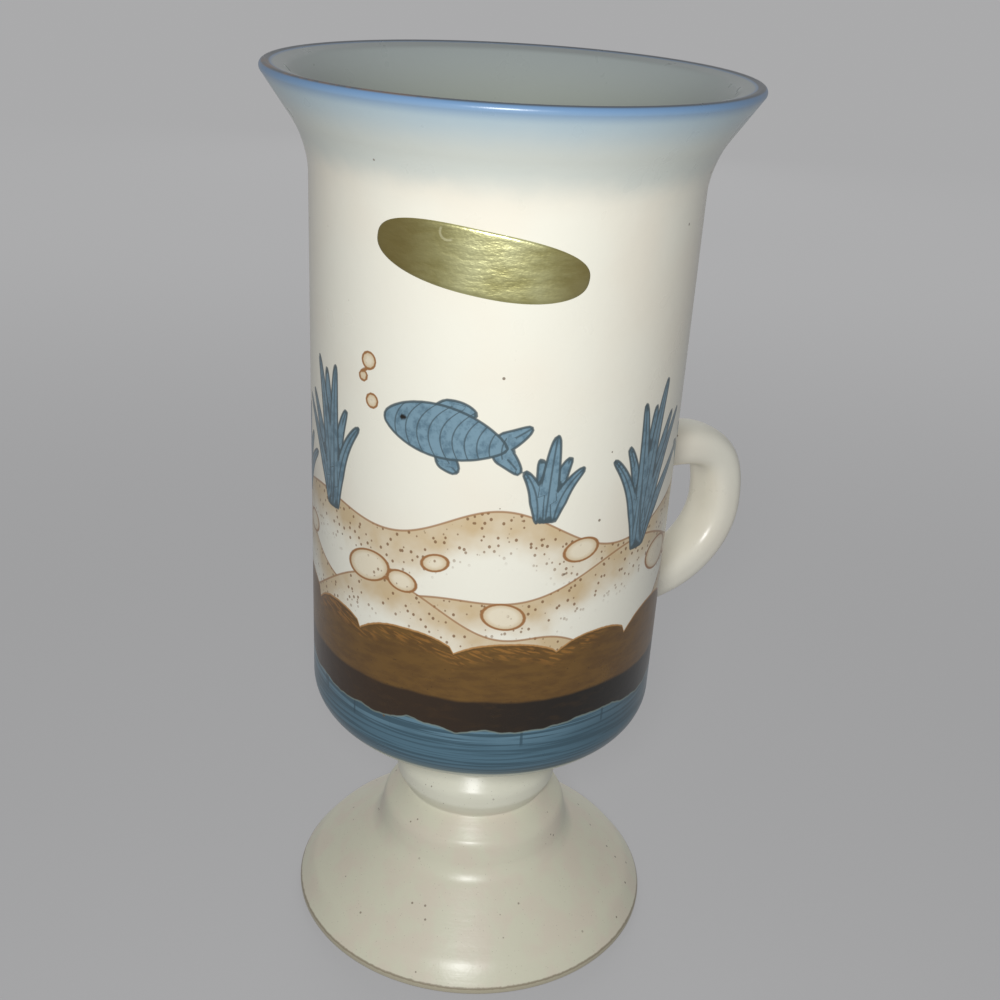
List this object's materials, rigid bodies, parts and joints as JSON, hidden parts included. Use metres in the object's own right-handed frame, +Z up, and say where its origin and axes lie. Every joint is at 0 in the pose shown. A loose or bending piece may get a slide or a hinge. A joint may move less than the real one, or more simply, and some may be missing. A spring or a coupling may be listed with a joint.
{
  "type": "pedestal mug",
  "caption": "Tall straight-sided stoneware pedestal mug with a flared rim, a beaded stem on a domed foot, a small ear-shaped handle and a plain foil label.",
  "frame": {"origin": "on the mug's axis in the plane of the foot's ring, which is the surface that the mug stands on", "axes": "+Z up along the mug's axis, +X towards the handle"},
  "size_m": [0.0913, 0.076, 0.152],
  "materials": {
    "glazed_stoneware": "satin cream glaze with fine iron specks, a blue rim and painted bands round the lower cup",
    "label_foil": "thin olive-gold metal foil, slightly creased"
  },
  "bodies": {
    "root": {"mug": "glazed_stoneware", "foil_label": "label_foil"}
  },
  "joints": []
}
